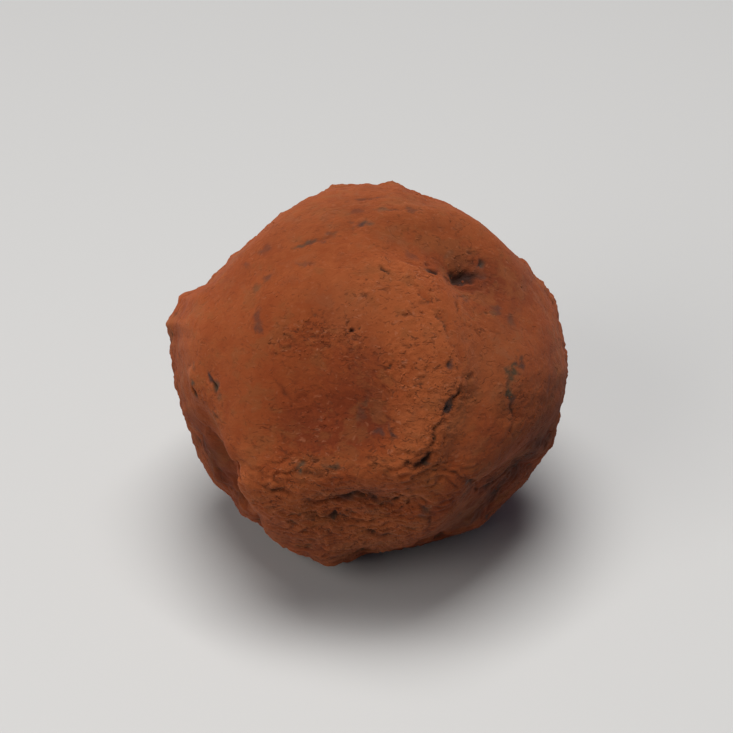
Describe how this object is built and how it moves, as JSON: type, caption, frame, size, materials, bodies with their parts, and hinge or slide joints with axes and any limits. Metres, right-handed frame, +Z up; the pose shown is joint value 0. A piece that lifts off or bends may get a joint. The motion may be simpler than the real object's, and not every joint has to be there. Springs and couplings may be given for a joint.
{
  "type": "chocolate truffle",
  "caption": "Hand-rolled chocolate truffle, an uneven ball of ganache dusted all over with cocoa powder, to eat or to lay in a box or on a plate.",
  "frame": {"origin": "on the table, under the middle of the lump's bounding box, in the plane of the small flat spot that it rests on", "axes": "+Z up; +X to the right of someone facing the best side, along the lump's longest extent; -Y towards that person"},
  "size_m": [0.0296, 0.0294, 0.0286],
  "materials": {
    "cocoa": "dry, powdery matte"
  },
  "bodies": {
    "root": {"truffle": "cocoa"}
  },
  "joints": []
}
